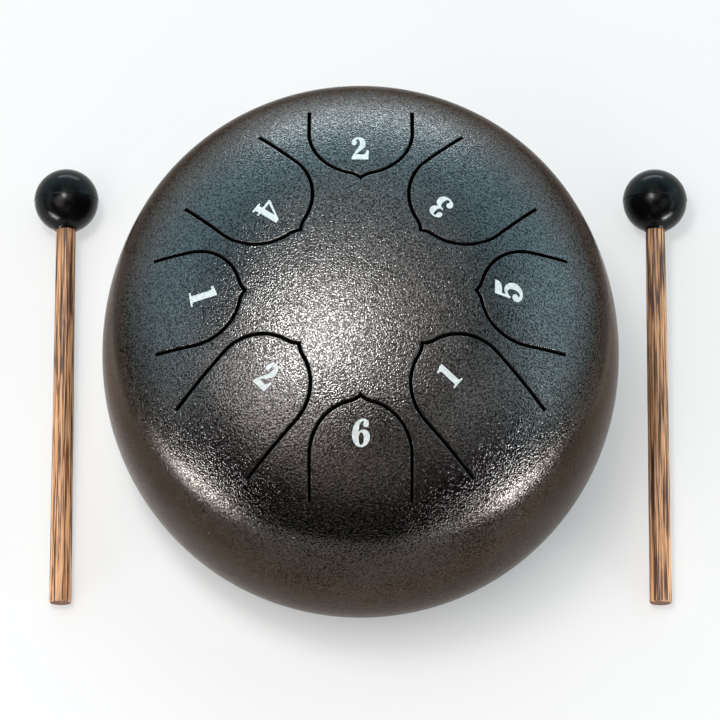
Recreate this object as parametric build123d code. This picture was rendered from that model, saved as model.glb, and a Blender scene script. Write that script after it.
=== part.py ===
from build123d import *
import os
from math import acos, asin, atan2, cos, degrees, hypot, radians, sin

# Steel tongue drum of the six-inch class with eight tongues, and its pair of rubber-headed mallets.
# Millimetres, +Z up. The origin is on the table, on the drum's axis: the feet and the mallets
# rest on Z = 0, the player sits towards -Y.

# Sheet-steel body
body_diameter = 155.0
sheet_thickness = 1.5
upper_wall_radius = 174.4
upper_wall_sweep = 12.46
shoulder_radius = 22.0
shoulder_sweep = 28.54
haunch_radius = 67.9
crown_radius = 142.8
lower_wall_radius = 84.0
lower_wall_sweep = 11.65
base_corner_radius = 12.3
sound_hole_diameter = 46.0

# Lap joint at the seam: the lower shell's rim is stepped inwards and slips into the upper shell
lip_height = 6.0
lip_clearance = 0.1
joggle_length = 5.0

# Tongues: an arched slot with a small reversed point at the tip, open at the root. Each row is one tongue
# or an equal pair right and left: its angle from +X, its width, and how far tip and root are from the axis
slot_width = 1.0
point_height = 1.35
point_radius = 7.0
tongues = (
    dict(angle=90.0, width=30.2, tip=33.4, root=58.6),
    dict(angle=43.9, width=30.9, tip=24.0, root=56.3),
    dict(angle=-1.7, width=28.5, tip=33.3, root=59.9),
    dict(angle=-45.0, width=29.2, tip=25.0, root=60.8),
    dict(angle=-90.0, width=29.5, tip=32.7, root=60.4),
)

# Rubber feet, each held by a screw, a washer and a nut
foot_names = ("rear", "left", "right")
foot_inset = 15.4
foot_height = 7.0
foot_top_diameter = 18.0
foot_bottom_diameter = 15.0
foot_edge_radius = 0.8
recess_diameter = 9.6
recess_depth = 3.9
screw_diameter = 4.0
screw_clearance = 0.15
screw_end_length = 1.0
head_diameter = 7.6
head_height = 2.4
drive_width = 1.0
drive_length = 4.2
drive_depth = 1.2
washer_diameter = 9.0
washer_thickness = 0.8
nut_width = 7.0
nut_height = 3.2
thread_clearance = 0.05

# Mallets: a moulded rubber ball on a turned hardwood stick
mallet_offset = 90.8
mallet_head_place = 58.9
ball_diameter = 20.0
stick_reach = 126.7
stick_head_diameter = 6.0
stick_tail_diameter = 6.8
stick_edge = 0.5
spigot_depth = 7.0
bore_clearance = 0.05
bore_end_gap = 0.3

# Worked-out sizes of the body
body_radius = body_diameter / 2
upper_wall_place = body_radius - upper_wall_radius
lower_wall_place = body_radius - lower_wall_radius
lower_corner_reach = lower_wall_radius - base_corner_radius
lower_depth = base_corner_radius + lower_corner_reach * sin(radians(lower_wall_sweep))
seam_height = foot_height + lower_depth
base_inner_height = foot_height + sheet_thickness
base_flat_radius = lower_wall_place + lower_corner_reach * cos(radians(lower_wall_sweep))
foot_circle_radius = base_flat_radius - foot_inset
foot_angles = {name: 90 + 360 * place / len(foot_names) for place, name in enumerate(foot_names)}


def arc_center(start, radius_change, angle):
    """Centre of the arc that carries on smoothly from an arc about start, at the given angle."""
    return start[0] + radius_change * cos(angle), start[1] + radius_change * sin(angle)


def upper_shell():
    """Crowned shell: barrel wall, shoulder, haunch and crown as tangent arcs, with the tongue slots."""
    wall = (upper_wall_place, seam_height)
    haunch_low = upper_wall_sweep + shoulder_sweep
    shoulder = arc_center(wall, upper_wall_radius - shoulder_radius, radians(upper_wall_sweep))
    haunch = arc_center(shoulder, shoulder_radius - haunch_radius, radians(haunch_low))
    crown_low = degrees(acos(haunch[0] / (crown_radius - haunch_radius)))
    crown = arc_center(haunch, haunch_radius - crown_radius, radians(crown_low))
    top_height = crown[1] + crown_radius
    with BuildPart() as shell:
        with BuildSketch(Plane.XZ):
            with BuildLine():
                for inset in (0, sheet_thickness):
                    CenterArc(wall, upper_wall_radius - inset, 0, upper_wall_sweep)
                    CenterArc(shoulder, shoulder_radius - inset, upper_wall_sweep, shoulder_sweep)
                    CenterArc(haunch, haunch_radius - inset, haunch_low, crown_low - haunch_low)
                    CenterArc(crown, crown_radius - inset, crown_low, 90 - crown_low)
                Line((0, top_height - sheet_thickness), (0, top_height))
                Line((body_radius - sheet_thickness, seam_height), (body_radius, seam_height))
            make_face()
        revolve(axis=Axis.Z)
    cutters = []
    for tongue in tongues:
        slot = extrude(tongue_slot(tongue), top_height - seam_height)
        for angle in sorted({tongue["angle"] % 360, (180 - tongue["angle"]) % 360}):
            cutters.append(Pos(0, 0, seam_height) * Rot(0, 0, angle) * slot)
    return shell.part - cutters


def tongue_slot(tongue):
    """Plan of one slot along +X: a band of slot_width about the tongue's outline, with square ends."""
    half_slot = slot_width / 2
    return tongue_plan(tongue, half_slot) - tongue_plan(tongue, -half_slot)


def tongue_plan(tongue, growth):
    """Plan of one tongue along +X, grown by growth: straight sides, a half-round arch and two reversed
    arcs that meet in a point on its axis."""
    root = tongue["root"]
    arch_radius = tongue["width"] / 2
    arch_place = tongue["tip"] + point_height + arch_radius
    reach = arch_radius + point_height
    span = arch_radius + point_radius
    turn = acos((reach**2 + span**2 - point_radius**2) / (2 * reach * span))
    point_x = arch_place - span * cos(turn)
    point_y = span * sin(turn)
    side = arch_radius + growth
    reverse_radius = point_radius - growth
    reverse_turn = degrees(asin(point_y / reverse_radius) - turn)
    arch_turn = 90 - degrees(turn)
    with BuildSketch() as plan:
        with BuildLine():
            Line((root, -side), (root, side))
            Line((root, side), (arch_place, side))
            CenterArc((arch_place, 0), side, 90, arch_turn)
            CenterArc((point_x, point_y), reverse_radius, -degrees(turn), -reverse_turn)
            CenterArc((point_x, -point_y), reverse_radius, degrees(turn), reverse_turn)
            CenterArc((arch_place, 0), side, 180 + degrees(turn), arch_turn)
            Line((arch_place, -side), (root, -side))
        make_face()
    return plan.sketch


def lower_shell():
    """Pan with a flat base and barrel wall, stepped in at the rim for the lap joint, with a sound hole."""
    wall = (lower_wall_place, seam_height)
    corner = arc_center(wall, lower_corner_reach, -radians(lower_wall_sweep))
    corner_turn = 90 - lower_wall_sweep
    upper_inner = upper_wall_radius - sheet_thickness
    lower_inner = lower_wall_radius - sheet_thickness
    lip_radius = upper_wall_place + upper_inner * cos(asin(lip_height / upper_inner)) - lip_clearance
    joggle_angle = asin(joggle_length / lower_inner)
    joggle_radius = lower_wall_place + lower_inner * cos(joggle_angle)
    lip_top = seam_height + lip_height
    with BuildPart() as shell:
        with BuildSketch(Plane.XZ):
            with BuildLine():
                CenterArc(wall, lower_wall_radius, 0, -lower_wall_sweep)
                CenterArc(corner, base_corner_radius, -lower_wall_sweep, -corner_turn)
                Line((corner[0], foot_height), (0, foot_height))
                Line((0, foot_height), (0, base_inner_height))
                Line((0, base_inner_height), (corner[0], base_inner_height))
                CenterArc(corner, base_corner_radius - sheet_thickness, -90, corner_turn)
                CenterArc(wall, lower_inner, -lower_wall_sweep, lower_wall_sweep - degrees(joggle_angle))
                Polyline(
                    (joggle_radius, seam_height - joggle_length),
                    (lip_radius - sheet_thickness, seam_height - sheet_thickness),
                    (lip_radius - sheet_thickness, lip_top),
                    (lip_radius, lip_top),
                    (lip_radius, seam_height),
                    (body_radius, seam_height),
                )
            make_face()
        revolve(axis=Axis.Z)
        with Locations((0, 0, foot_height)):
            Hole(sound_hole_diameter / 2, sheet_thickness * 2)
    screw_hole = Cylinder(screw_diameter / 2 + screw_clearance, sheet_thickness * 4)
    return shell.part - [foot_place(angle) * Pos(0, 0, foot_height) * screw_hole for angle in foot_angles.values()]


def foot_place(angle):
    """Axis of the foot at the given angle about the drum's axis, on the table."""
    return Rot(0, 0, angle) * Pos(foot_circle_radius, 0, 0)


def foot():
    """Tapered rubber foot with rounded edges, a recess for the screw's head and a hole above it."""
    with BuildPart() as body:
        with BuildSketch(Plane.XZ):
            with BuildLine():
                Polyline(
                    (0, 0),
                    (foot_bottom_diameter / 2, 0),
                    (foot_top_diameter / 2, foot_height),
                    (0, foot_height),
                    close=True,
                )
            make_face()
        revolve(axis=Axis.Z)
        fillet(body.edges().filter_by(GeomType.CIRCLE).group_by(Axis.Z)[0], foot_edge_radius)
        with Locations((0, 0, recess_depth / 2)):
            Cylinder(recess_diameter / 2, recess_depth, mode=Mode.SUBTRACT)
        with Locations((0, 0, foot_height)):
            Cylinder(screw_diameter / 2 + screw_clearance, foot_height * 2, mode=Mode.SUBTRACT)
    return body.part


def foot_washer():
    """Flat washer between the screw's head and the roof of the foot's recess."""
    middle = recess_depth - washer_thickness / 2
    hole = Cylinder(screw_diameter / 2 + screw_clearance, washer_thickness * 2)
    return Pos(0, 0, middle) * (Cylinder(washer_diameter / 2, washer_thickness) - hole)


def foot_screw():
    """Pan-head screw with a cross drive, from the recess up through the base and the nut."""
    head_top = recess_depth - washer_thickness
    head_bottom = head_top - head_height
    shank_top = base_inner_height + nut_height + screw_end_length
    with BuildPart() as screw:
        with Locations((0, 0, head_bottom)):
            Cylinder(head_diameter / 2, head_height, align=(Align.CENTER, Align.CENTER, Align.MIN))
        fillet(screw.edges().group_by(Axis.Z)[0], head_height / 2)
        with Locations((0, 0, head_top)):
            Cylinder(screw_diameter / 2, shank_top - head_top, align=(Align.CENTER, Align.CENTER, Align.MIN))
        chamfer(screw.edges().group_by(Axis.Z)[-1], screw_end_length / 2)
        with Locations((0, 0, head_bottom)):
            drive_align = (Align.CENTER, Align.CENTER, Align.MIN)
            Box(drive_length, drive_width, drive_depth, align=drive_align, mode=Mode.SUBTRACT)
            Box(drive_width, drive_length, drive_depth, align=drive_align, mode=Mode.SUBTRACT)
    return screw.part


def foot_nut():
    """Hexagon nut on the inner face of the base."""
    with BuildPart() as nut:
        with BuildSketch(Plane.XY.offset(base_inner_height)):
            RegularPolygon(nut_width / 2, 6, major_radius=False)
            Circle(screw_diameter / 2 + thread_clearance, mode=Mode.SUBTRACT)
        extrude(amount=nut_height)
    return nut.part


def mallet_place(side):
    """Place of a mallet whose ball and stick end both lie on the table; the stick points towards -Y."""
    ball_radius = ball_diameter / 2
    tail_radius = stick_tail_diameter / 2
    contact_reach = stick_reach - stick_edge
    tilt = asin(ball_radius / hypot(contact_reach, tail_radius)) - atan2(tail_radius, contact_reach)
    return Pos(side * mallet_offset, mallet_head_place, ball_radius) * Rot(90 + degrees(tilt), 0, 0)


def mallet_stick():
    """Turned stick along +Z from inside the ball, with a thinner end in the ball and a thicker free end."""
    with BuildPart() as stick:
        with BuildSketch(Plane.XZ):
            with BuildLine():
                Polyline(
                    (0, -spigot_depth),
                    (stick_head_diameter / 2, -spigot_depth),
                    (stick_head_diameter / 2, ball_diameter / 2),
                    (stick_tail_diameter / 2, stick_reach - stick_edge),
                    (stick_tail_diameter / 2 - stick_edge, stick_reach),
                    (0, stick_reach),
                    close=True,
                )
            make_face()
        revolve(axis=Axis.Z)
    return stick.part


def mallet_head():
    """Rubber ball with the blind bore that the stick is glued into."""
    bore_depth = spigot_depth + bore_end_gap
    bore_radius = stick_head_diameter / 2 + bore_clearance
    bore = Cylinder(bore_radius, bore_depth + ball_diameter, align=(Align.CENTER, Align.CENTER, Align.MIN))
    return Sphere(ball_diameter / 2) - Pos(0, 0, -bore_depth) * bore


os.makedirs("parts", exist_ok=True)
export_step(upper_shell(), "parts/upper_shell.step")
export_step(lower_shell(), "parts/lower_shell.step")
for place_name, place_angle in foot_angles.items():
    stand = foot_place(place_angle)
    export_step(stand * foot(), f"parts/foot_{place_name}.step")
    export_step(stand * foot_washer(), f"parts/foot_washer_{place_name}.step")
    export_step(stand * foot_screw(), f"parts/foot_screw_{place_name}.step")
    export_step(stand * foot_nut(), f"parts/foot_nut_{place_name}.step")
for side_name, side_sign in {"left": -1, "right": 1}.items():
    lie = mallet_place(side_sign)
    export_step(lie * mallet_head(), f"parts/mallet_head_{side_name}.step")
    export_step(lie * mallet_stick(), f"parts/mallet_stick_{side_name}.step")
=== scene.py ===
import math

import bmesh
import bpy
import numpy as np
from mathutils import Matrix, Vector


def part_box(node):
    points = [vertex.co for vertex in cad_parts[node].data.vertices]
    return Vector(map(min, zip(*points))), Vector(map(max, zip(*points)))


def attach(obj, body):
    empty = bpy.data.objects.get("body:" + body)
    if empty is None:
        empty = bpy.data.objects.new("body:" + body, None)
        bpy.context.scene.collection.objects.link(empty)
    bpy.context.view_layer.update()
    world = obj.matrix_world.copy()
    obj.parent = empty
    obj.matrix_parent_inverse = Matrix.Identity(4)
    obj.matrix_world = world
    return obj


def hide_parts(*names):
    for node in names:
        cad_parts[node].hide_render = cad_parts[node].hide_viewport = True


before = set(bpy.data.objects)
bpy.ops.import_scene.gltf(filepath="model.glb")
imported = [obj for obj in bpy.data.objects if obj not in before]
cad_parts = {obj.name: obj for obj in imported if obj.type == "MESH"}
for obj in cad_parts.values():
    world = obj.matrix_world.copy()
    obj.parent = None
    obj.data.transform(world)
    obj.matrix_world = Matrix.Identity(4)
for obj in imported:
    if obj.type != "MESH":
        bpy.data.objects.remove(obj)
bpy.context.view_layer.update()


# Upper shell: one bowl pressed from 1.5 mm steel sheet, with eight tongues laser-cut into its crown.
# Barrel wall, shoulder, haunch and crown run into each other as tangent arcs, and the thick powder
# coat rounds the edges of the slots. It is joined to the lower shell at the seam.
mm = 0.001
sheet = 1.5
body_radius = 77.5
wall_radius = 174.4
wall_sweep = math.radians(12.46)
shoulder_radius = 22.0
shoulder_end = math.radians(41.0)
haunch_radius = 67.9
crown_radius = 142.8
seam_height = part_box("upper_shell")[0].z / mm
seam_round = 0.3
point_height = 1.35
point_radius = 7.0
half_slot = 0.5
edge_round = 0.18
knee_lead = 8.0
slot_zone = 62.5
tip_zone = 30.0
# Each tongue: its angle in degrees, half its width, and its tip's and root's distances from the axis.
tongues = (
    (-90.0, 14.75, 32.7, 60.4),
    (-45.0, 14.6, 25.0, 60.8),
    (-1.7, 14.25, 33.3, 59.9),
    (43.9, 15.45, 24.0, 56.3),
    (90.0, 15.1, 33.4, 58.6),
    (136.1, 15.45, 24.0, 56.3),
    (181.7, 14.25, 33.3, 59.9),
    (225.0, 14.6, 25.0, 60.8),
)
ray_places = np.concatenate([np.linspace(slot_zone, tip_zone, 34), np.linspace(tip_zone, 0, 26)[1:]])


def direction(angle):
    """Unit vector at an angle in a plane."""
    return np.array([math.cos(angle), math.sin(angle)])


wall_center = np.array([body_radius - wall_radius, seam_height])
shoulder_center = wall_center + (wall_radius - shoulder_radius) * direction(wall_sweep)
haunch_center = shoulder_center + (shoulder_radius - haunch_radius) * direction(shoulder_end)
crown_start = math.acos(haunch_center[0] / (crown_radius - haunch_radius))
crown_center = haunch_center[1] + (haunch_radius - crown_radius) * math.sin(crown_start)


def arc(center, radius, start, end, count):
    """Points of a circle arc in a plane: center plus radius times (cos, sin) of even steps of angle."""
    turn = np.linspace(start, end, count)
    return np.stack([center[0] + radius * np.cos(turn), center[1] + radius * np.sin(turn)], -1)


def tongue_outline(tongue, growth, ray):
    """Half of a tongue's outline along +X in plan, grown by growth, from root to tip: a straight side,
    a quarter arch and a reversed arc into the point. It is read where lines square to the ray
    between two tongues meet it; past the arch's start the places close up to the tip."""
    _, half_width, tip, root = tongue
    reach = half_width + point_height
    span = half_width + point_radius
    turn = math.acos((reach**2 + span**2 - point_radius**2) / (2 * reach * span))
    arch_place = tip + reach
    reverse_center = (arch_place - span * math.cos(turn), span * math.sin(turn))
    reverse_radius = point_radius - growth
    end_turn = math.asin(reverse_center[1] / reverse_radius)
    side = half_width + growth
    straight = np.linspace((root, side), (arch_place, side), 200)
    arch = arc((arch_place, 0), side, math.pi / 2, math.pi - turn, 600)
    reverse = arc(reverse_center, reverse_radius, -turn, -end_turn, 300)
    line = np.concatenate([straight, arch[1:], reverse[1:]])
    across = line @ ray
    knee = arch_place - knee_lead
    wanted = np.interp(ray_places, [0, knee, ray_places[0]], [across[-1], knee, across[0]])
    return np.stack([np.interp(-wanted, -across, line[:, axis]) for axis in (0, 1)], -1)


def on_crown(plan, depth):
    """Plan points lifted to the outside of crown and haunch, or to the surface depth below it: a sphere
    about the axis out to the crown's edge, and a ring of round section beyond."""
    radius = np.hypot(plan[..., 0], plan[..., 1])
    crown = crown_center + np.sqrt((crown_radius - depth) ** 2 - radius**2)
    haunch_square = (haunch_radius - depth) ** 2 - (radius - haunch_center[0]) ** 2
    haunch = haunch_center[1] + np.sqrt(np.maximum(haunch_square, 0))
    height = np.where(radius < (crown_radius - depth) * math.cos(crown_start), crown, haunch)
    return np.concatenate([plan, height[..., None]], -1)


def ruled(start, end, shares):
    """Rows between two lines of points: start plus a share of the way to end."""
    return start + shares[:, None, None] * (end - start)


def shell_profile():
    """Radius and height from the haunch's edge down the outside to the seam and back up the inside."""
    outside = [
        arc(shoulder_center, shoulder_radius, shoulder_end, wall_sweep, 18),
        arc(wall_center, wall_radius, wall_sweep, seam_round / wall_radius, 24)[1:],
        arc((body_radius - seam_round, seam_height + seam_round), seam_round, 0, -math.pi / 2, 5)[1:],
    ]
    inside = [
        arc(wall_center, wall_radius - sheet, 0, wall_sweep, 10),
        arc(shoulder_center, shoulder_radius - sheet, wall_sweep, shoulder_end, 14)[1:],
    ]
    return np.concatenate(outside + inside)


def half_sector(tongue, gap):
    """Grids of the shell from a tongue's axis to the ray at the angle gap from it: the crown beyond the
    slot, the tongue, the same two from below, the slot's end, the bands out to the haunch's edge
    and the turned shoulder and wall. Each slot edge is a quarter round of edge_round."""
    ray = direction(gap)
    turn = np.linspace(0, math.pi / 2, 5)
    growths = np.append(half_slot, half_slot + edge_round * (1 - np.cos(turn)))
    depths = np.append(sheet, edge_round * (1 - np.sin(turn)))
    beyond_lip = np.stack([on_crown(tongue_outline(tongue, g, ray), d) for g, d in zip(growths, depths)])
    tongue_lip = np.stack([on_crown(tongue_outline(tongue, -g, ray), d) for g, d in zip(growths, depths)])
    shares = np.linspace(0, 1, 11) ** 1.4
    faces = []
    for growth, depth in ((growths[-1], 0), (half_slot, sheet)):
        slot_edge = tongue_outline(tongue, growth, ray)
        tongue_edge = tongue_outline(tongue, -growth, ray)
        beyond = on_crown(ruled(slot_edge, ray_places[:, None] * ray, shares), depth)
        inner = on_crown(ruled(tongue_edge, tongue_edge * [1, 0], shares), depth)
        faces.append((beyond, inner, np.concatenate([beyond[::-1, 0], inner[:, 0]])))
    rim = faces[0][2]
    angles = np.arctan2(rim[:, 1], rim[:, 0])
    circle = np.stack([np.cos(angles), np.sin(angles)], -1)
    bands = []
    for (_, _, root_line), depth in zip(faces, (0, sheet)):
        edge = circle * (haunch_center[0] + (haunch_radius - depth) * math.cos(shoulder_end))
        bands.append(on_crown(ruled(root_line[:, :2], edge, np.linspace(0, 1, 5)), depth))
    profile = shell_profile()
    heights = np.repeat(profile[:, None, 1:], len(circle), 1)
    turned = np.concatenate([profile[:, None, :1] * circle, heights], -1)
    return [
        np.concatenate([beyond_lip, faces[0][0][1:]]),
        np.concatenate([tongue_lip, faces[0][1][1:]]),
        faces[1][0],
        faces[1][1],
        np.stack([tongue_lip[:, 0], beyond_lip[:, 0]], 1),
        bands[0],
        bands[1],
        turned,
    ]


def turned_about_axis(grid, angle, mirror):
    """A grid mirrored in its own axis or not, then turned about the drum's axis."""
    x, y = grid[..., 0], grid[..., 1] * mirror
    c, s = math.cos(angle), math.sin(angle)
    return np.stack([c * x - s * y, s * x + c * y, grid[..., 2]], -1)


def skin(name, grids, crease=40):
    """Object from grids of points in millimetres: each cell of a grid is a face, points that meet are
    merged, faces turned outwards, and edges sharper than crease degrees stay sharp."""
    merge_gap = 0.002 * mm
    points, quads, first = [], [], 0
    for grid in grids:
        rows, columns = grid.shape[:2]
        index = first + np.arange(rows * columns).reshape(rows, columns)
        corners = (index[:-1, :-1], index[:-1, 1:], index[1:, 1:], index[1:, :-1])
        quads.append(np.stack(corners, -1).reshape(-1, 4))
        points.append(grid.reshape(-1, 3))
        first += rows * columns
    mesh = bpy.data.meshes.new(name)
    mesh.from_pydata((np.concatenate(points) * mm).tolist(), [], np.concatenate(quads).tolist())
    work = bmesh.new()
    work.from_mesh(mesh)
    bmesh.ops.remove_doubles(work, verts=work.verts, dist=merge_gap)
    bmesh.ops.recalc_face_normals(work, faces=work.faces)
    work.to_mesh(mesh)
    work.free()
    mesh.polygons.foreach_set("use_smooth", np.ones(len(mesh.polygons), bool))
    mesh.set_sharp_from_angle(angle=math.radians(crease))
    piece = bpy.data.objects.new(name, mesh)
    bpy.context.scene.collection.objects.link(piece)
    return piece


shell_grids = []
for place, tongue in enumerate(tongues):
    for mirror, neighbour in ((1, tongues[(place + 1) % len(tongues)]), (-1, tongues[place - 1])):
        gap = math.radians(mirror * (neighbour[0] - tongue[0]) % 360 / 2)
        for grid in half_sector(tongue, gap):
            shell_grids.append(turned_about_axis(grid, math.radians(tongue[0]), mirror))
upper_shell = skin("upper_shell_pressed", shell_grids)
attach(upper_shell, "drum")
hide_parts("upper_shell")


# Coat on both shells: warm black powder coat that flowed into a fine leathery texture in the oven.
# The cells are under a millimetre across and glossy, so a lamp shows in them as a white net on black.
# Below the shoulder the coat takes a duller, browner form that stays dark at glancing angles: painted shade
# standing in for dark surroundings reflected in the wall. The two forms blend over the shoulder's top.
cell_scale = 2000
# Heights in metres over which the painted wall shade fades out towards the crown.
wall_shade_full_below = 0.080625
wall_shade_gone_above = 0.089375


class Socket:
    """One output of a finish's nodes. Python's operators on it add Math nodes."""

    def __init__(self, finish, output):
        self.finish = finish
        self.output = output

    def math(self, operation, first, second):
        return self.finish.node("ShaderNodeMath", {"operation": operation}, {0: first, 1: second})

    def __add__(self, other):
        return self.math("ADD", self, other)

    def __sub__(self, other):
        return self.math("SUBTRACT", self, other)

    def __mul__(self, other):
        return self.math("MULTIPLY", self, other)

    def __radd__(self, other):
        return self.math("ADD", other, self)

    def __rsub__(self, other):
        return self.math("SUBTRACT", other, self)

    def __rmul__(self, other):
        return self.math("MULTIPLY", other, self)


class Finish:
    """A material, or the world, whose nodes are written as formulas on sockets."""

    def __init__(self, owner):
        self.owner = owner
        owner.use_nodes = True
        self.tree = owner.node_tree
        self.tree.nodes.clear()

    def node(self, kind, settings=None, sockets=None, output=0):
        """One node: its settings first, with a ramp's stops as (place, colour) pairs, then its sockets."""
        made = self.tree.nodes.new(kind)
        for name, value in (settings or {}).items():
            if name == "stops":
                while len(made.color_ramp.elements) < len(value):
                    made.color_ramp.elements.new(1)
                for element, (place, colour) in zip(made.color_ramp.elements, value):
                    element.position = place
                    element.color = (*colour, 1)
            else:
                setattr(made, name, value)
        for name, value in (sockets or {}).items():
            if isinstance(value, Socket):
                self.tree.links.new(value.output, made.inputs[name])
            else:
                made.inputs[name].default_value = value
        return Socket(self, made.outputs[output] if made.outputs else None)


coat = Finish(bpy.data.materials.new("textured_coat"))
place = coat.node("ShaderNodeTexCoord", output="Object")
cells = coat.node(
    "ShaderNodeTexNoise",
    {},
    {"Vector": place, "Scale": cell_scale, "Detail": 0.6, "Roughness": 0.4, "Distortion": 0.6},
)
peel = coat.node("ShaderNodeTexNoise", {}, {"Vector": place, "Scale": 420, "Detail": 2, "Roughness": 0.5})
clouds = coat.node("ShaderNodeTexNoise", {}, {"Vector": place, "Scale": 45, "Detail": 2})
pigment = coat.node(
    "ShaderNodeValToRGB",
    {"stops": [(0.3, (0.0035, 0.0026, 0.0023)), (0.7, (0.0085, 0.0062, 0.0055))]},
    {0: 0.55 * cells + 0.45 * clouds},
)
relief = coat.node(
    "ShaderNodeBump", {}, {"Strength": 1.0, "Distance": 0.00014, "Height": cells + 0.25 * peel}
)
gloss = 0.07 + 0.05 * clouds + 0.05 * cells
# Painted shade in the hollows between the cells: there the coat turns partly metallic over its near-black
# pigment, so it reflects little and reads as dark creases.
painted_valley_shade = coat.node(
    "ShaderNodeValToRGB", {"stops": [(0.4, (0.7, 0.7, 0.7)), (0.54, (0.0, 0.0, 0.0))]}, {0: cells}
)
crown_coat = coat.node(
    "ShaderNodeBsdfPrincipled",
    {},
    {
        "Base Color": pigment,
        "Metallic": painted_valley_shade,
        "IOR": 1.6,
        "Specular IOR Level": 1.0,
        "Roughness": gloss,
        "Normal": relief,
    },
)
bronze = coat.node(
    "ShaderNodeValToRGB",
    {"stops": [(0.39, (0.011, 0.0095, 0.0087)), (0.59, (0.083, 0.073, 0.067))]},
    {0: 0.75 * cells + 0.25 * clouds},
)
# Painted shade on the wall: a metallic coat with a dark edge tint, so it does not brighten towards glancing
# angles as the crown coat does.
shaded_wall_coat = coat.node(
    "ShaderNodeBsdfPrincipled",
    {},
    {
        "Base Color": bronze,
        "Metallic": 1.0,
        "Specular Tint": (0.52, 0.475, 0.445, 1.0),
        "Roughness": 0.03 + gloss,
        "Normal": relief,
    },
)
height = coat.node("ShaderNodeSeparateXYZ", {}, {0: place}, output="Z")
painted_wall_shade_share = coat.node(
    "ShaderNodeValToRGB",
    {"stops": [(0.0, (1.0, 1.0, 1.0)), (1.0, (0.0, 0.0, 0.0))]},
    {0: (height - wall_shade_full_below) * (1 / (wall_shade_gone_above - wall_shade_full_below))},
)
coat_shader = coat.node("ShaderNodeMixShader", {}, {0: painted_wall_shade_share, 1: crown_coat, 2: shaded_wall_coat})
coat.node("ShaderNodeOutputMaterial", {}, {"Surface": coat_shader})
upper_shell.data.materials.append(coat.owner)


# Walls of the slots: uncoated edges of the sheet, matt near-black, partly scorch from the laser and partly
# painted shade that keeps the narrow slots dark. They are the steep faces above the shoulder, with the lower
# half of the rounded lips, and the coat covers the rest.
slot_wall_slope = 0.62
above_shoulder = 2.0


def drawn_noise(finish, vector, stretch, sockets):
    """Noise that is drawn out: its vector is scaled by stretch along each axis first."""
    drawn = finish.node("ShaderNodeMapping", {}, {"Vector": vector, "Scale": stretch})
    return finish.node("ShaderNodeTexNoise", {}, {"Vector": drawn, "Scale": 1, **sockets})


def face_vectors(mesh, kind):
    """The normals or the centers of a mesh's faces, as rows of three."""
    values = np.empty(len(mesh.polygons) * 3)
    mesh.polygons.foreach_get(kind, values)
    return values.reshape(-1, 3)


# Near-black finish: laser scorch on the slot walls, and painted shade there and on the inside of the pan.
scorch_and_shade = Finish(bpy.data.materials.new("scorched_edge_and_painted_shade"))
place = scorch_and_shade.node("ShaderNodeTexCoord", output="Object")
kerf = drawn_noise(scorch_and_shade, place, (6000, 6000, 500), {"Detail": 2})
soot_and_painted_shade = scorch_and_shade.node(
    "ShaderNodeValToRGB",
    {"stops": [(0.3, (0.002, 0.002, 0.002)), (0.8, (0.007, 0.006, 0.005))]},
    {0: kerf},
)
striae = scorch_and_shade.node("ShaderNodeBump", {}, {"Strength": 0.5, "Distance": 0.00004, "Height": kerf})
scorch_and_shade_shader = scorch_and_shade.node(
    "ShaderNodeBsdfPrincipled",
    {},
    {"Base Color": soot_and_painted_shade, "Roughness": 0.8 + 0.15 * kerf, "Specular IOR Level": 0.1, "Normal": striae},
)
scorch_and_shade.node("ShaderNodeOutputMaterial", {}, {"Surface": scorch_and_shade_shader})
upper_shell.data.materials.append(scorch_and_shade.owner)
normals = face_vectors(upper_shell.data, "normal")
centers = face_vectors(upper_shell.data, "center")
shoulder_top = haunch_center[1] + haunch_radius * math.sin(shoulder_end)
# Painted shade: the steep slot walls above the shoulder get the near-black finish.
steep = (np.abs(normals[:, 2]) < slot_wall_slope) & (centers[:, 2] > (shoulder_top + above_shoulder) * mm)
upper_shell.data.polygons.foreach_set("material_index", steep.astype(np.int32))


# Lower shell: a pan pressed from the same sheet, with a round sound hole and three screw holes in its base.
# Its rim is stepped in and slips into the upper shell. Outside it has the same coat; inside, the faces that
# look up or inwards take the near-black finish of the slot walls, as painted shade.
pan_floor = 9.0
facing_up = 0.1
facing_in = -0.02


def dress(node, material):
    """Give every material slot of a CAD node the same finish."""
    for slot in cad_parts[node].material_slots:
        slot.material = material


dress("lower_shell", coat.owner)
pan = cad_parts["lower_shell"].data
pan.materials.append(scorch_and_shade.owner)
normals = face_vectors(pan, "normal")
centers = face_vectors(pan, "center")
# Painted shade: faces inside the pan, found by their normals and heights, get the near-black finish.
inward = (normals[:, :2] * centers[:, :2]).sum(1) < facing_in
inside = (normals[:, 2] > facing_up) | (inward & (centers[:, 2] > pan_floor * mm))
pan.polygons.foreach_set("material_index", np.where(inside, len(pan.materials) - 1, 0).astype(np.int32))


# Feet: three tapered rubber buffers under the base, each with a recess for its screw.
# They are moulded in black rubber, matt, a little dusty in patches.
foot_names = ("rear", "left", "right")
rubber = Finish(bpy.data.materials.new("foot_rubber_black"))
place = rubber.node("ShaderNodeTexCoord", output="Object")
grain = rubber.node("ShaderNodeTexNoise", {}, {"Vector": place, "Scale": 2400, "Detail": 3})
scuffs = rubber.node(
    "ShaderNodeTexNoise", {}, {"Vector": place, "Scale": 260, "Detail": 4, "Roughness": 0.65}
)
dusty = rubber.node(
    "ShaderNodeValToRGB",
    {"stops": [(0.42, (0.016, 0.016, 0.016)), (0.75, (0.05, 0.048, 0.045))]},
    {0: scuffs},
)
dull = rubber.node(
    "ShaderNodeBump", {}, {"Strength": 0.6, "Distance": 0.00008, "Height": grain + 0.6 * scuffs}
)
rubber_shader = rubber.node(
    "ShaderNodeBsdfPrincipled", {}, {"Base Color": dusty, "Roughness": 0.62 + 0.2 * scuffs, "Normal": dull}
)
rubber.node("ShaderNodeOutputMaterial", {}, {"Surface": rubber_shader})
for foot in foot_names:
    dress(f"foot_{foot}", rubber.owner)


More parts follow.
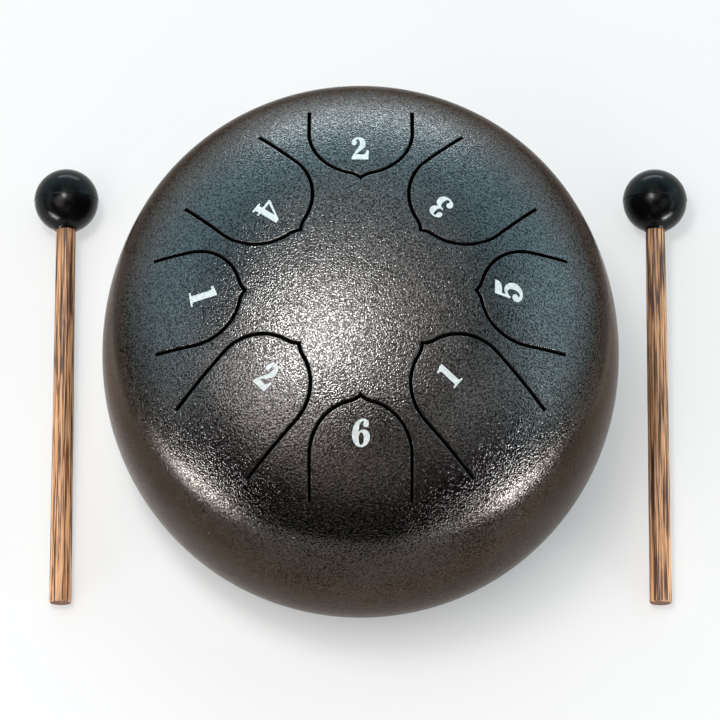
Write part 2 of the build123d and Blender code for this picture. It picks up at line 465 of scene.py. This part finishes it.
# Screws, washers and nuts of the feet: zinc-plated steel, a pan-head screw with a washer under its
# head in each foot, and a hexagon nut inside on the base.
zinc = Finish(bpy.data.materials.new("zinc_plate"))
place = zinc.node("ShaderNodeTexCoord", output="Object")
patches = zinc.node("ShaderNodeTexNoise", {}, {"Vector": place, "Scale": 420, "Detail": 4, "Roughness": 0.6})
scratches = drawn_noise(zinc, place, (900, 5200, 900), {"Detail": 2})
plate = zinc.node(
    "ShaderNodeValToRGB",
    {"stops": [(0.3, (0.42, 0.43, 0.44)), (0.7, (0.66, 0.66, 0.63))]},
    {0: patches},
)
turned_marks = zinc.node("ShaderNodeBump", {}, {"Strength": 0.5, "Distance": 0.00003, "Height": scratches})
zinc_shader = zinc.node(
    "ShaderNodeBsdfPrincipled",
    {},
    {"Base Color": plate, "Metallic": 1.0, "Roughness": 0.22 + 0.25 * patches, "Normal": turned_marks},
)
zinc.node("ShaderNodeOutputMaterial", {}, {"Surface": zinc_shader})
for foot in foot_names:
    for fastener in ("washer", "screw", "nut"):
        dress(f"foot_{fastener}_{foot}", zinc.owner)


# Note numbers: eight plain numerals on the tongues, cut from thin pale vinyl with a plotter and
# rubbed down onto the coat. Bold book figures with ball ends. All but one have their tops
# towards the drum's middle.
number_proud = 0.07
number_thickness = 0.1
figure_cuts = np.arange(-0.45, 0.46, 0.1)
cut_gap = 1e-5
figure_gap = 1e-4
corner, smooth = "VECTOR", "AUTO"
# Each figure: its width for a height of 1, and its outlines as (across, up, kind of knot) in hundredths.
figures = {
    1: (0.5, [
        [(26, 100, corner), (14, 95, smooth), (0, 92, corner), (0, 85, corner), (9, 85, smooth),
         (14, 80, corner), (14, 11, corner), (11, 7, smooth), (1, 6, corner), (1, 0, corner),
         (50, 0, corner), (50, 6, corner), (40, 7, smooth), (37, 11, corner), (37, 100, corner)],
    ]),
    2: (0.575, [
        [(0.7, 73.4, smooth), (5, 85.6, smooth), (16.5, 95.7, smooth), (31.7, 100, smooth),
         (48.2, 96.4, smooth), (59.7, 84.9, smooth), (64.3, 71.2, smooth), (60.4, 57.6, smooth),
         (48.2, 44.6, smooth), (33.8, 33.1, smooth), (20.6, 23.3, corner), (33.8, 21.9, smooth),
         (46.8, 20.8, smooth), (60.4, 23.7, smooth), (66.2, 31.7, smooth), (69.8, 39.6, corner),
         (78.4, 38.8, corner), (77, 20.1, smooth), (74.8, 0, corner), (0, 0, corner),
         (1.4, 7.9, smooth), (7.9, 20.1, smooth), (18, 34.5, smooth), (30.9, 51.8, smooth),
         (37.4, 64.7, smooth), (38.4, 77.7, smooth), (34.5, 87, smooth), (28.1, 90.6, smooth),
         (20.6, 85.6, corner), (23.7, 77.7, smooth), (21.6, 69.1, smooth), (13.7, 63.3, smooth),
         (5, 65.5, smooth)],
    ]),
    3: (0.62, [
        [(3, 79, smooth), (7, 90, smooth), (17, 97.5, smooth), (31, 100, smooth),
         (48, 95.5, smooth), (56.5, 80, smooth), (53, 66, smooth), (42, 55.5, corner),
         (55, 48.5, smooth), (62, 30, smooth), (56, 11, smooth), (39, 0.5, smooth), (22, 1, smooth),
         (7, 8, smooth), (1, 22, smooth), (6, 32, smooth), (15, 34, smooth), (23.5, 26, smooth),
         (21, 14, corner), (26, 6.5, smooth), (34, 9, smooth), (39, 28, smooth), (36, 44, smooth),
         (28, 50, smooth), (18, 50.5, corner), (18, 57, corner), (27, 57, smooth), (33, 65, smooth),
         (34.5, 80, smooth), (31.5, 92, smooth), (26, 94.5, smooth), (21, 88, corner),
         (23, 78, smooth), (15, 69, smooth), (6.5, 71, smooth)],
    ]),
    4: (0.7, [
        [(46, 100, corner), (63, 100, corner), (63, 30, corner), (75, 30, corner),
         (75, 22.5, corner), (63, 22.5, corner), (63, 11, corner), (65, 7, smooth), (74, 6, corner),
         (74, 0, corner), (31, 0, corner), (31, 6, corner), (38, 7, smooth), (40, 11, corner),
         (40, 22.5, corner), (0, 22.5, corner), (0, 30, corner)],
        [(40, 32, corner), (12, 32, corner), (40, 78, corner)],
    ]),
    5: (0.69, [
        [(23.3, 100, corner), (73.3, 98, corner), (66.4, 83, smooth), (52.7, 75.8, smooth),
         (38, 74.7, smooth), (26, 75.3, corner), (22.6, 62.3, corner), (37.7, 65.8, smooth),
         (52.7, 63, smooth), (63, 52.7, smooth), (67.8, 37.7, smooth), (65, 22.6, smooth),
         (55.5, 10.3, smooth), (41.8, 2, smooth), (28, 0, smooth), (13, 3.4, smooth),
         (3.4, 11.6, smooth), (0, 21.2, smooth), (3.4, 30.8, smooth), (13, 37, smooth),
         (22.6, 35.6, smooth), (27.4, 28, smooth), (25.3, 19.9, smooth), (18, 14.4, corner),
         (24, 11, smooth), (31, 11.6, smooth), (38.4, 18.5, smooth), (43.8, 30.8, smooth),
         (44.5, 43, smooth), (41, 51.4, smooth), (33.6, 54.8, smooth), (25.3, 52.7, smooth),
         (14.4, 43.2, corner), (10, 46.6, corner)],
    ]),
    6: (0.63, [
        [(39.2, 100, smooth), (24.3, 95.3, smooth), (12.2, 83.1, smooth), (4.7, 66.9, smooth),
         (0.7, 46.6, smooth), (2.7, 27.7, smooth), (9.5, 12.8, smooth), (21.6, 2.7, smooth),
         (32.4, 0, smooth), (44.6, 3.4, smooth), (56.8, 15.5, smooth), (63.2, 33.1, smooth),
         (61.5, 46.6, smooth), (54, 57.4, smooth), (41.2, 61.5, smooth), (29.7, 58.1, smooth),
         (23.6, 52.4, corner), (24.6, 64.2, smooth), (27, 77.7, smooth), (32.4, 87.2, smooth),
         (39.2, 92.2, smooth), (43.2, 89.2, corner), (39.9, 81.8, smooth), (43.2, 73, smooth),
         (49.3, 70.3, smooth), (56.8, 73.6, smooth), (59.7, 81.8, smooth), (57.4, 91.2, smooth),
         (50, 98, smooth)],
        [(33.1, 52, smooth), (41.2, 41.2, smooth), (41.9, 27.7, smooth), (39.2, 14.2, smooth),
         (31.8, 8.1, smooth), (25, 16.9, smooth), (23.6, 30.4, smooth), (25.7, 43.9, smooth)],
    ]),
}


def figure_sheet(digit):
    """A numeral as a flat filled outline of unit height about its middle, cut into cells of a tenth so
    that it can follow the crown."""
    width, outlines = figures[digit]
    reach = max(x for x, _, _ in outlines[0])
    outline = bpy.data.curves.new("figure_outline", "CURVE")
    outline.dimensions = "2D"
    outline.fill_mode = "BOTH"
    outline.resolution_u = 6
    for points in outlines:
        spline = outline.splines.new("BEZIER")
        spline.bezier_points.add(len(points) - 1)
        spline.use_cyclic_u = True
        for knot, (x, y, kind) in zip(spline.bezier_points, points):
            knot.co = ((x / reach - 0.5) * width, y / 100 - 0.5, 0)
            knot.handle_left_type = knot.handle_right_type = kind
    carrier = bpy.data.objects.new("figure_outline", outline)
    bpy.context.scene.collection.objects.link(carrier)
    bpy.context.view_layer.update()
    flat = bpy.data.meshes.new_from_object(carrier.evaluated_get(bpy.context.evaluated_depsgraph_get()))
    bpy.data.objects.remove(carrier)
    work = bmesh.new()
    work.from_mesh(flat)
    for cut in figure_cuts:
        for normal in ((1, 0, 0), (0, 1, 0)):
            whole = work.verts[:] + work.edges[:] + work.faces[:]
            at = Vector(normal) * cut
            bmesh.ops.bisect_plane(work, geom=whole, plane_co=at, plane_no=normal, dist=cut_gap)
    bmesh.ops.remove_doubles(work, verts=work.verts, dist=figure_gap)
    bmesh.ops.recalc_face_normals(work, faces=work.faces)
    work.to_mesh(flat)
    work.free()
    return flat


def note_number(name, digit, height, angle, distance, turn):
    """A numeral laid on the crown: from the place at angle and distance, its flat points go out along the
    two tangents and down onto the surface, a little proud of it. turn is from tops-to-the-middle."""
    mesh = figure_sheet(digit)
    flat = np.empty(len(mesh.vertices) * 3)
    mesh.vertices.foreach_get("co", flat)
    flat = flat.reshape(-1, 3) * height
    spoke = direction(angle)
    lean = math.asin(max(distance - haunch_center[0], 0) / haunch_radius)
    normal = np.array([*(spoke * math.sin(lean)), math.cos(lean)])
    inward = np.array([*(-spoke * math.cos(lean)), math.sin(lean)])
    sideways = np.cross(inward, normal)
    up = math.cos(turn) * inward - math.sin(turn) * sideways
    right = math.cos(turn) * sideways + math.sin(turn) * inward
    out = flat[:, :1] * right + flat[:, 1:2] * up
    out = on_crown(spoke * distance + out[:, :2], -number_proud)
    mesh.vertices.foreach_set("co", (out * mm).ravel())
    mesh.update()
    if face_vectors(mesh, "normal")[:, 2].mean() < 0:
        mesh.flip_normals()
    piece = bpy.data.objects.new(name, mesh)
    bpy.context.scene.collection.objects.link(piece)
    body = piece.modifiers.new("vinyl", "SOLIDIFY")
    body.thickness = number_thickness * mm
    body.offset = -1
    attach(piece, "drum")
    return piece


vinyl = Finish(bpy.data.materials.new("pale_vinyl"))
place = vinyl.node("ShaderNodeTexCoord", output="Object")
under = vinyl.node(
    "ShaderNodeTexNoise",
    {},
    {"Vector": place, "Scale": cell_scale, "Detail": 0.6, "Roughness": 0.4, "Distortion": 0.6},
)
grey = vinyl.node("ShaderNodeTexNoise", {}, {"Vector": place, "Scale": 900, "Detail": 3})
pale = vinyl.node(
    "ShaderNodeValToRGB", {"stops": [(0.3, (0.4, 0.45, 0.45)), (0.7, (0.56, 0.61, 0.61))]}, {0: grey}
)
rubbed = vinyl.node("ShaderNodeBump", {}, {"Strength": 1.0, "Distance": 0.00016, "Height": under})
vinyl_shader = vinyl.node(
    "ShaderNodeBsdfPrincipled", {}, {"Base Color": pale, "Roughness": 0.42 + 0.15 * grey, "Normal": rubbed}
)
vinyl.node("ShaderNodeOutputMaterial", {}, {"Surface": vinyl_shader})
# Each number: its tongue, digit and height, its angle in degrees and distance from the axis, its turn.
numbers = (
    ("north", 2, 8.8, 90.2, 43.7, 180.0),
    ("north_east", 3, 7.7, 46.3, 33.7, 0.0),
    ("east", 5, 8.8, -0.4, 42.8, 0.0),
    ("south_east", 1, 7.4, -46.2, 36.6, 5.8),
    ("south", 6, 8.2, -89.9, 43.1, 0.0),
    ("south_west", 2, 8.2, -134.9, 37.6, 0.0),
    ("west", 1, 8.6, 181.8, 45.5, 7.8),
    ("north_west", 4, 8.3, 138.8, 35.3, 4.8),
)
for side, digit, tall, angle, distance, turn in numbers:
    name = f"note_number_{side}"
    number = note_number(name, digit, tall, math.radians(angle), distance, math.radians(turn))
    number.data.materials.append(vinyl.owner)


# Mallet heads: black rubber balls, moulded in two halves and glued onto the sticks. The mould leaves a
# fine broken ridge round the middle, square to the stick, and one half stands a trace proud.
ball_radius = 10.0
ball_half_step = 0.08
half_step_width = 0.06
ridge_height = 0.09
ridge_width = 0.16
ridge_crowding = 3.2
parting_dust_and_sheen_scale = 1500
bore_radius = 3.05
bore_lip = 0.35
bore_depth = 7.3
stick_reach = 126.7
tail_radius = 3.4
tail_edge = 0.5
mallet_offset = 90.8
mallet_place = 58.9
contact_reach = stick_reach - tail_edge
slope_to_contact = math.asin(ball_radius / math.hypot(contact_reach, tail_radius))
tilt = slope_to_contact - math.atan2(tail_radius, contact_reach)
mallet_axis = np.array([0, -math.cos(tilt), -math.sin(tilt)])
mallet_side = np.array([1.0, 0, 0])
mallet_up = np.cross(mallet_side, mallet_axis)


def turned_on_stick(along, radius, turn, side):
    """Points round a mallet's axis: along it from the ball's middle, and radius times (cos, sin) of turn
    across it. side is -1 for the left mallet and 1 for the right one."""
    middle = np.array([side * mallet_offset, mallet_place, ball_radius])
    across = np.cos(turn)[..., None] * mallet_side + np.sin(turn)[..., None] * mallet_up
    return middle + along[..., None] * mallet_axis + radius[..., None] * across


def mallet_ball(side):
    """Ball with a bore: a sphere from the far pole to the bore's rounded lip, then the bore's wall and
    floor. The mould's ridge is a bell-shaped swelling at the middle, uneven round the ball."""
    turn = np.linspace(0, 2 * math.pi, 129)
    lip_place = math.sqrt((ball_radius - bore_lip) ** 2 - (bore_radius + bore_lip) ** 2)
    lip_turn = math.atan2(bore_radius + bore_lip, lip_place)
    fine = np.sinh(np.linspace(-ridge_crowding, ridge_crowding, 61)) / math.sinh(ridge_crowding)
    pole = math.pi / 2 + fine * math.pi / 2
    pole = np.where(fine < 0, math.pi / 2 + fine * (math.pi / 2 - lip_turn), pole)
    pole, turns = np.meshgrid(pole, turn, indexing="ij")
    along = ball_radius * np.cos(pole)
    uneven = 0.75 + 0.3 * np.sin(3 * turns + side)
    uneven = uneven + 0.25 * np.sin(11 * turns + 2 * side) + 0.2 * np.sin(23 * turns)
    swell = ridge_height * np.clip(uneven, 0, 1.2) * np.exp(-((along / ridge_width) ** 2))
    half_step = ball_half_step * (0.5 + 0.5 * np.tanh(along / half_step_width))
    reach = ball_radius - half_step - ridge_height + swell
    ball = turned_on_stick(reach * np.cos(pole), reach * np.sin(pole), turns, side)
    lip = arc((lip_place, bore_radius + bore_lip), bore_lip, lip_turn, -math.pi / 2, 8)
    hollow = np.concatenate([lip[1:], [(-bore_depth, bore_radius), (-bore_depth, 0)]])
    along, turns = np.meshgrid(hollow[:, 0], turn, indexing="ij")
    radius = np.repeat(hollow[:, 1:], len(turn), 1)
    bore = np.concatenate([ball[:1], turned_on_stick(along, radius, turns, side)])
    return [ball, bore]


black = Finish(bpy.data.materials.new("mallet_rubber_black"))
place = black.node("ShaderNodeTexCoord", output="Object")
bloom = black.node("ShaderNodeTexNoise", {}, {"Vector": place, "Scale": 170, "Detail": 4, "Roughness": 0.6})
pits = black.node("ShaderNodeTexNoise", {}, {"Vector": place, "Scale": 2600, "Detail": 2})
level = black.node("ShaderNodeMapping", {}, {"Vector": place, "Rotation": (-tilt, 0, 0)})
along_stick = black.node("ShaderNodeSeparateXYZ", {}, {0: level}, output="Y")
parting = (mallet_place * math.cos(tilt) + ball_radius * math.sin(tilt)) * mm
# Lighter grey base colour along the parting ridge, broken by the bloom noise: partly dust in the mould line
# and partly a painted sheen of light catching the ridge. It also makes the ridge rougher.
parting_dust_and_sheen = black.node(
    "ShaderNodeValToRGB",
    {
        "stops": [
            (0.3, (0.0, 0.0, 0.0)),
            (0.4, (1.0, 1.0, 1.0)),
            (0.48, (1.0, 1.0, 1.0)),
            (0.54, (0.0, 0.0, 0.0)),
        ]
    },
    {0: parting_dust_and_sheen_scale * (along_stick - parting) + 0.5},
)
lampblack = black.node(
    "ShaderNodeValToRGB",
    {
        "stops": [
            (0.3, (0.0018, 0.0018, 0.0019)),
            (0.75, (0.0038, 0.0038, 0.0038)),
            (1.0, (0.05, 0.05, 0.05)),
        ]
    },
    {0: 0.7 * bloom + 0.8 * parting_dust_and_sheen * bloom},
)
skin_marks = black.node("ShaderNodeBump", {}, {"Strength": 0.35, "Distance": 0.00005, "Height": pits + bloom})
black_shader = black.node(
    "ShaderNodeBsdfPrincipled",
    {},
    {
        "Base Color": lampblack,
        "Specular IOR Level": 0.14,
        "Roughness": 0.12 + 0.16 * bloom + 0.4 * parting_dust_and_sheen,
        "Normal": skin_marks,
    },
)
black.node("ShaderNodeOutputMaterial", {}, {"Surface": black_shader})
sides = (("left", -1), ("right", 1))
for name, side in sides:
    head = skin(f"mallet_ball_{name}", mallet_ball(side), crease=60)
    head.data.materials.append(black.owner)
    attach(head, f"mallet_{name}")
    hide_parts(f"mallet_head_{name}")


# Mallet sticks: turned from streaky brown hardwood, a little thicker at the free end, whose edge is
# broken by hand. The thin end is glued into the ball. Oiled, not varnished.
neck_radius = 3.0
spigot_depth = 7.0
shank_overlap = 0.5
long_wave, long_wave_rate = 0.02, 0.21
short_wave, short_wave_rate = 0.012, 0.53
end_face_slope = 0.9


def mallet_stick(side):
    """Stick: the radius grows evenly from the ball to the free end, with a faint wave of the turning,
    and closes over a rounded edge to an end face."""
    turn = np.linspace(0, 2 * math.pi, 73)
    shank = np.linspace(ball_radius - shank_overlap, stick_reach - tail_edge, 70)
    grow = (shank - shank[0]) / (shank[-1] - shank[0])
    wave = long_wave * np.sin(shank * long_wave_rate + side) + short_wave * np.sin(shank * short_wave_rate)
    shank_radius = neck_radius + (tail_radius - neck_radius) * grow + wave * np.sin(math.pi * grow)
    edge = arc((stick_reach - tail_edge, tail_radius - tail_edge), tail_edge, math.pi / 2, 0, 6)
    start = [(-spigot_depth, 0), (-spigot_depth, neck_radius)]
    face = [(stick_reach, (tail_radius - tail_edge) * share) for share in (0.66, 0.33, 0)]
    profile = np.concatenate([start, np.stack([shank, shank_radius], -1), edge[1:], face])
    along, turns = np.meshgrid(profile[:, 0], turn, indexing="ij")
    return [turned_on_stick(along, np.repeat(profile[:, 1:], len(turn), 1), turns, side)]


wood = Finish(bpy.data.materials.new("streaky_hardwood"))
place = wood.node("ShaderNodeTexCoord", output="Object")
level = wood.node("ShaderNodeMapping", {}, {"Vector": place, "Rotation": (-tilt, 0, 0)})
bands = drawn_noise(wood, level, (520, 14, 520), {"Detail": 1, "Distortion": 0.5})
streaks = drawn_noise(wood, level, (1900, 45, 1900), {"Detail": 2, "Roughness": 0.6, "Distortion": 0.3})
pores = drawn_noise(wood, level, (4200, 190, 4200), {"Detail": 2})
figure = 0.12 * bands + 0.73 * streaks + 0.15 * pores
brown = wood.node(
    "ShaderNodeValToRGB",
    {
        "stops": [
            (0.435, (0.03, 0.011, 0.004)),
            (0.475, (0.12, 0.048, 0.019)),
            (0.51, (0.3, 0.135, 0.058)),
            (0.565, (0.54, 0.28, 0.13)),
        ]
    },
    {0: figure},
)
fibres = wood.node("ShaderNodeBump", {}, {"Strength": 0.5, "Distance": 0.00006, "Height": streaks + pores})
wood_shader = wood.node(
    "ShaderNodeBsdfPrincipled", {}, {"Base Color": brown, "Roughness": 0.62 - 0.2 * streaks, "Normal": fibres}
)
wood.node("ShaderNodeOutputMaterial", {}, {"Surface": wood_shader})
end_grain = Finish(bpy.data.materials.new("hardwood_end_grain"))
place = end_grain.node("ShaderNodeTexCoord", output="Object")
vessels = end_grain.node("ShaderNodeTexVoronoi", {}, {"Vector": place, "Scale": 2600}, output="Distance")
rings = end_grain.node("ShaderNodeTexNoise", {}, {"Vector": place, "Scale": 700, "Detail": 3})
umber = end_grain.node(
    "ShaderNodeValToRGB",
    {"stops": [(0.3, (0.025, 0.009, 0.004)), (0.7, (0.13, 0.055, 0.024))]},
    {0: 0.6 * rings + 0.5 * vessels},
)
sawn = end_grain.node("ShaderNodeBump", {}, {"Strength": 0.6, "Distance": 0.00008, "Height": vessels + rings})
end_shader = end_grain.node(
    "ShaderNodeBsdfPrincipled", {}, {"Base Color": umber, "Roughness": 0.85 - 0.1 * rings, "Normal": sawn}
)
end_grain.node("ShaderNodeOutputMaterial", {}, {"Surface": end_shader})
for name, side in sides:
    stick = skin(f"mallet_shaft_{name}", mallet_stick(side), crease=50)
    stick.data.materials.append(wood.owner)
    stick.data.materials.append(end_grain.owner)
    sawn_off = face_vectors(stick.data, "normal") @ mallet_axis > end_face_slope
    stick.data.polygons.foreach_set("material_index", sawn_off.astype(np.int32))
    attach(stick, f"mallet_{name}")
    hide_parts(f"mallet_stick_{name}")


# Studio: a pale sweep of paper under the drum, soft boxes overhead, at both sides and behind, low
# lights in front, and a camera high up in front with a long lens.
half_floor = 4
floor_height = -5e-5
floor_white = 0.8
floor_glow = 0.62
corner_signs = ((-1, -1), (1, -1), (1, 1), (-1, 1))
floor_corners = [(half_floor * x, half_floor * y, floor_height) for x, y in corner_signs]
floor_mesh = bpy.data.meshes.new("paper_floor")
floor_mesh.from_pydata(floor_corners, [], [(0, 1, 2, 3)])
floor = bpy.data.objects.new("paper_floor", floor_mesh)
bpy.context.scene.collection.objects.link(floor)
paper = Finish(bpy.data.materials.new("paper_white"))
place = paper.node("ShaderNodeTexCoord", output="Object")
from_axis = paper.node("ShaderNodeVectorMath", {"operation": "LENGTH"}, {"Vector": place}, output="Value")
decimetres = 10 * from_axis
# Painted shadow: the floor's glow is cut off under the drum and fades in from 30 mm to 94 mm from the axis,
# so the floor round the drum's foot is darker than the lamps alone make it.
clear = paper.node(
    "ShaderNodeValToRGB",
    {"stops": [(0.3, (0.0, 0.0, 0.0)), (0.6, (0.2, 0.2, 0.2)), (0.94, (1.0, 1.0, 1.0))]},
    {0: decimetres},
)
ray_kinds = ("Is Camera Ray", "Is Glossy Ray", "Is Transmission Ray")
seen_by = [paper.node("ShaderNodeLightPath", output=kind) for kind in ray_kinds]
seen_times = seen_by[0] + seen_by[1] + seen_by[2]
seen = paper.node("ShaderNodeMath", {"operation": "MINIMUM"}, {0: seen_times, 1: 1.0})
# Painted shade: the paper's own colour is black under the middle of the drum and turns white between 28 mm
# and 45 mm from the axis.
paper_with_painted_shade = paper.node(
    "ShaderNodeValToRGB",
    {"stops": [(0.28, (0.0, 0.0, 0.0)), (0.45, (0.86, 0.86, 0.86))]},
    {0: decimetres},
)
matt = paper.node("ShaderNodeBsdfDiffuse", {}, {"Color": paper_with_painted_shade})
white = paper.node("ShaderNodeEmission", {}, {"Color": floor_white * seen, "Strength": 1.0})
paper_shader = paper.node("ShaderNodeMixShader", {}, {0: floor_glow * clear * seen, 1: matt, 2: white})
paper.node("ShaderNodeOutputMaterial", {}, {"Surface": paper_shader})
floor_mesh.materials.append(paper.owner)

sky = Finish(bpy.data.worlds.new("studio_room"))
bpy.context.scene.world = sky.owner
way = sky.node("ShaderNodeTexCoord", output="Generated")
back = sky.node("ShaderNodeSeparateXYZ", {}, {0: way}, output="Y")
upward = sky.node("ShaderNodeSeparateXYZ", {}, {0: way}, output="Z")
behind = sky.node(
    "ShaderNodeValToRGB",
    {"stops": [(0.3, (0.0, 0.0, 0.0)), (0.75, (1.0, 1.0, 1.0))]},
    {0: 0.5 * back + 0.5},
)
near_horizon = sky.node(
    "ShaderNodeValToRGB",
    {"stops": [(0.45, (1.0, 1.0, 1.0)), (0.9, (0.06, 0.06, 0.06))]},
    {0: upward},
)
dusk = sky.node(
    "ShaderNodeValToRGB",
    {"stops": [(0.0, (0.0, 0.0, 0.0)), (1.0, (0.52, 0.86, 1.0))]},
    {0: behind * near_horizon},
)
backdrop = sky.node("ShaderNodeBackground", {}, {"Color": dusk, "Strength": 1.4})
sky.node("ShaderNodeOutputWorld", {}, {"Surface": backdrop})


lamp_aim_height = 0.06


def soft_box(name, azimuth, elevation, distance, width, height, power, colour):
    """Rectangle of light facing the drum from an azimuth and elevation in degrees, sizes in metres."""
    lamp = bpy.data.lights.new(name, "AREA")
    lamp.shape = "RECTANGLE"
    lamp.size, lamp.size_y = width, height
    lamp.energy = power
    lamp.color = colour
    box = bpy.data.objects.new(name, lamp)
    bpy.context.scene.collection.objects.link(box)
    a, e = math.radians(azimuth), math.radians(elevation)
    toward = Vector((math.cos(e) * math.cos(a), math.cos(e) * math.sin(a), math.sin(e)))
    box.location = Vector((0, 0, lamp_aim_height)) + toward * distance
    box.rotation_euler = toward.to_track_quat("Z", "Y").to_euler()
    box.visible_camera = False


# Each box: its name, azimuth, elevation and distance, its width and height, its power and its colour.
soft_boxes = (
    ("key_box", 157, 78, 1, 0.18, 0.18, 4.1, (1, 1, 1)),
    ("key_glow", 160, 77, 1, 0.5, 0.5, 2.4, (1, 0.92, 0.87)),
    ("front_glow", -152, 56, 1, 0.6, 0.55, 3.4, (1, 0.91, 0.87)),
    ("front_high", -95, 44, 1, 0.7, 0.4, 0.7, (1, 0.82, 0.74)),
    ("right_glow", -30, 48, 1, 0.55, 0.45, 0.8, (1, 0.97, 0.94)),
    ("top_box", 80, 80, 1.2, 0.9, 0.9, 3.6, (1, 0.92, 0.86)),
    ("left_box", 172, 27, 1, 0.55, 0.3, 0.5, (0.84, 0.95, 1)),
    ("left_front", -165, 14, 1, 0.4, 0.25, 0.27, (1, 0.92, 0.86)),
    ("right_box", 10, 27, 1, 0.55, 0.3, 0.7, (0.74, 0.93, 1)),
    ("right_strip", 17, 5, 1, 0.6, 0.14, 0.4, (0.6, 0.87, 1)),
    ("right_front", -14, 14, 1, 0.4, 0.25, 0.7, (0.76, 0.94, 1)),
    ("back_strip", 90, 3, 1, 0.8, 0.12, 2.5, (0.88, 0.97, 1)),
    ("back_box", 95, 48, 1, 0.6, 0.4, 0.5, (0.9, 0.98, 1)),
    ("front_left_strip", -143, -1.5, 1, 0.22, 0.05, 1.9, (0.95, 0.98, 1)),
    ("front_left_low", -142, -7.5, 0.31, 0.1, 0.03, 0.46, (0.95, 0.98, 1)),
    ("front_right_strip", -38, -1.5, 1, 0.22, 0.05, 2.4, (0.95, 0.98, 1)),
    ("front_right_low", -40, -7, 0.33, 0.09, 0.03, 0.52, (0.95, 0.98, 1)),
    ("front_right_tail", -56, -1, 1, 0.2, 0.05, 1.1, (0.95, 0.98, 1)),
)
for box in soft_boxes:
    soft_box(*box)

camera_elevation = math.radians(72.21)
camera_distance = 1.55
aim_left = 0.00018
aim_down = 0.00016
camera = bpy.data.objects.new("camera", bpy.data.cameras.new("camera"))
camera.data.lens = 257.68
camera.data.sensor_width = 36.0
camera.data.clip_end = 50
camera_side = Vector((0, -math.cos(camera_elevation), math.sin(camera_elevation)))
camera_up = Vector((0, math.sin(camera_elevation), math.cos(camera_elevation)))
camera.location = Vector((0, 0, seam_height * mm)) + camera_side * camera_distance
aim = Vector((-aim_left, 0, seam_height * mm)) - camera_up * aim_down
camera.rotation_euler = (camera.location - aim).to_track_quat("Z", "Y").to_euler()
bpy.context.scene.collection.objects.link(camera)
bpy.context.scene.camera = camera
bpy.context.scene.view_settings.view_transform = "Standard"
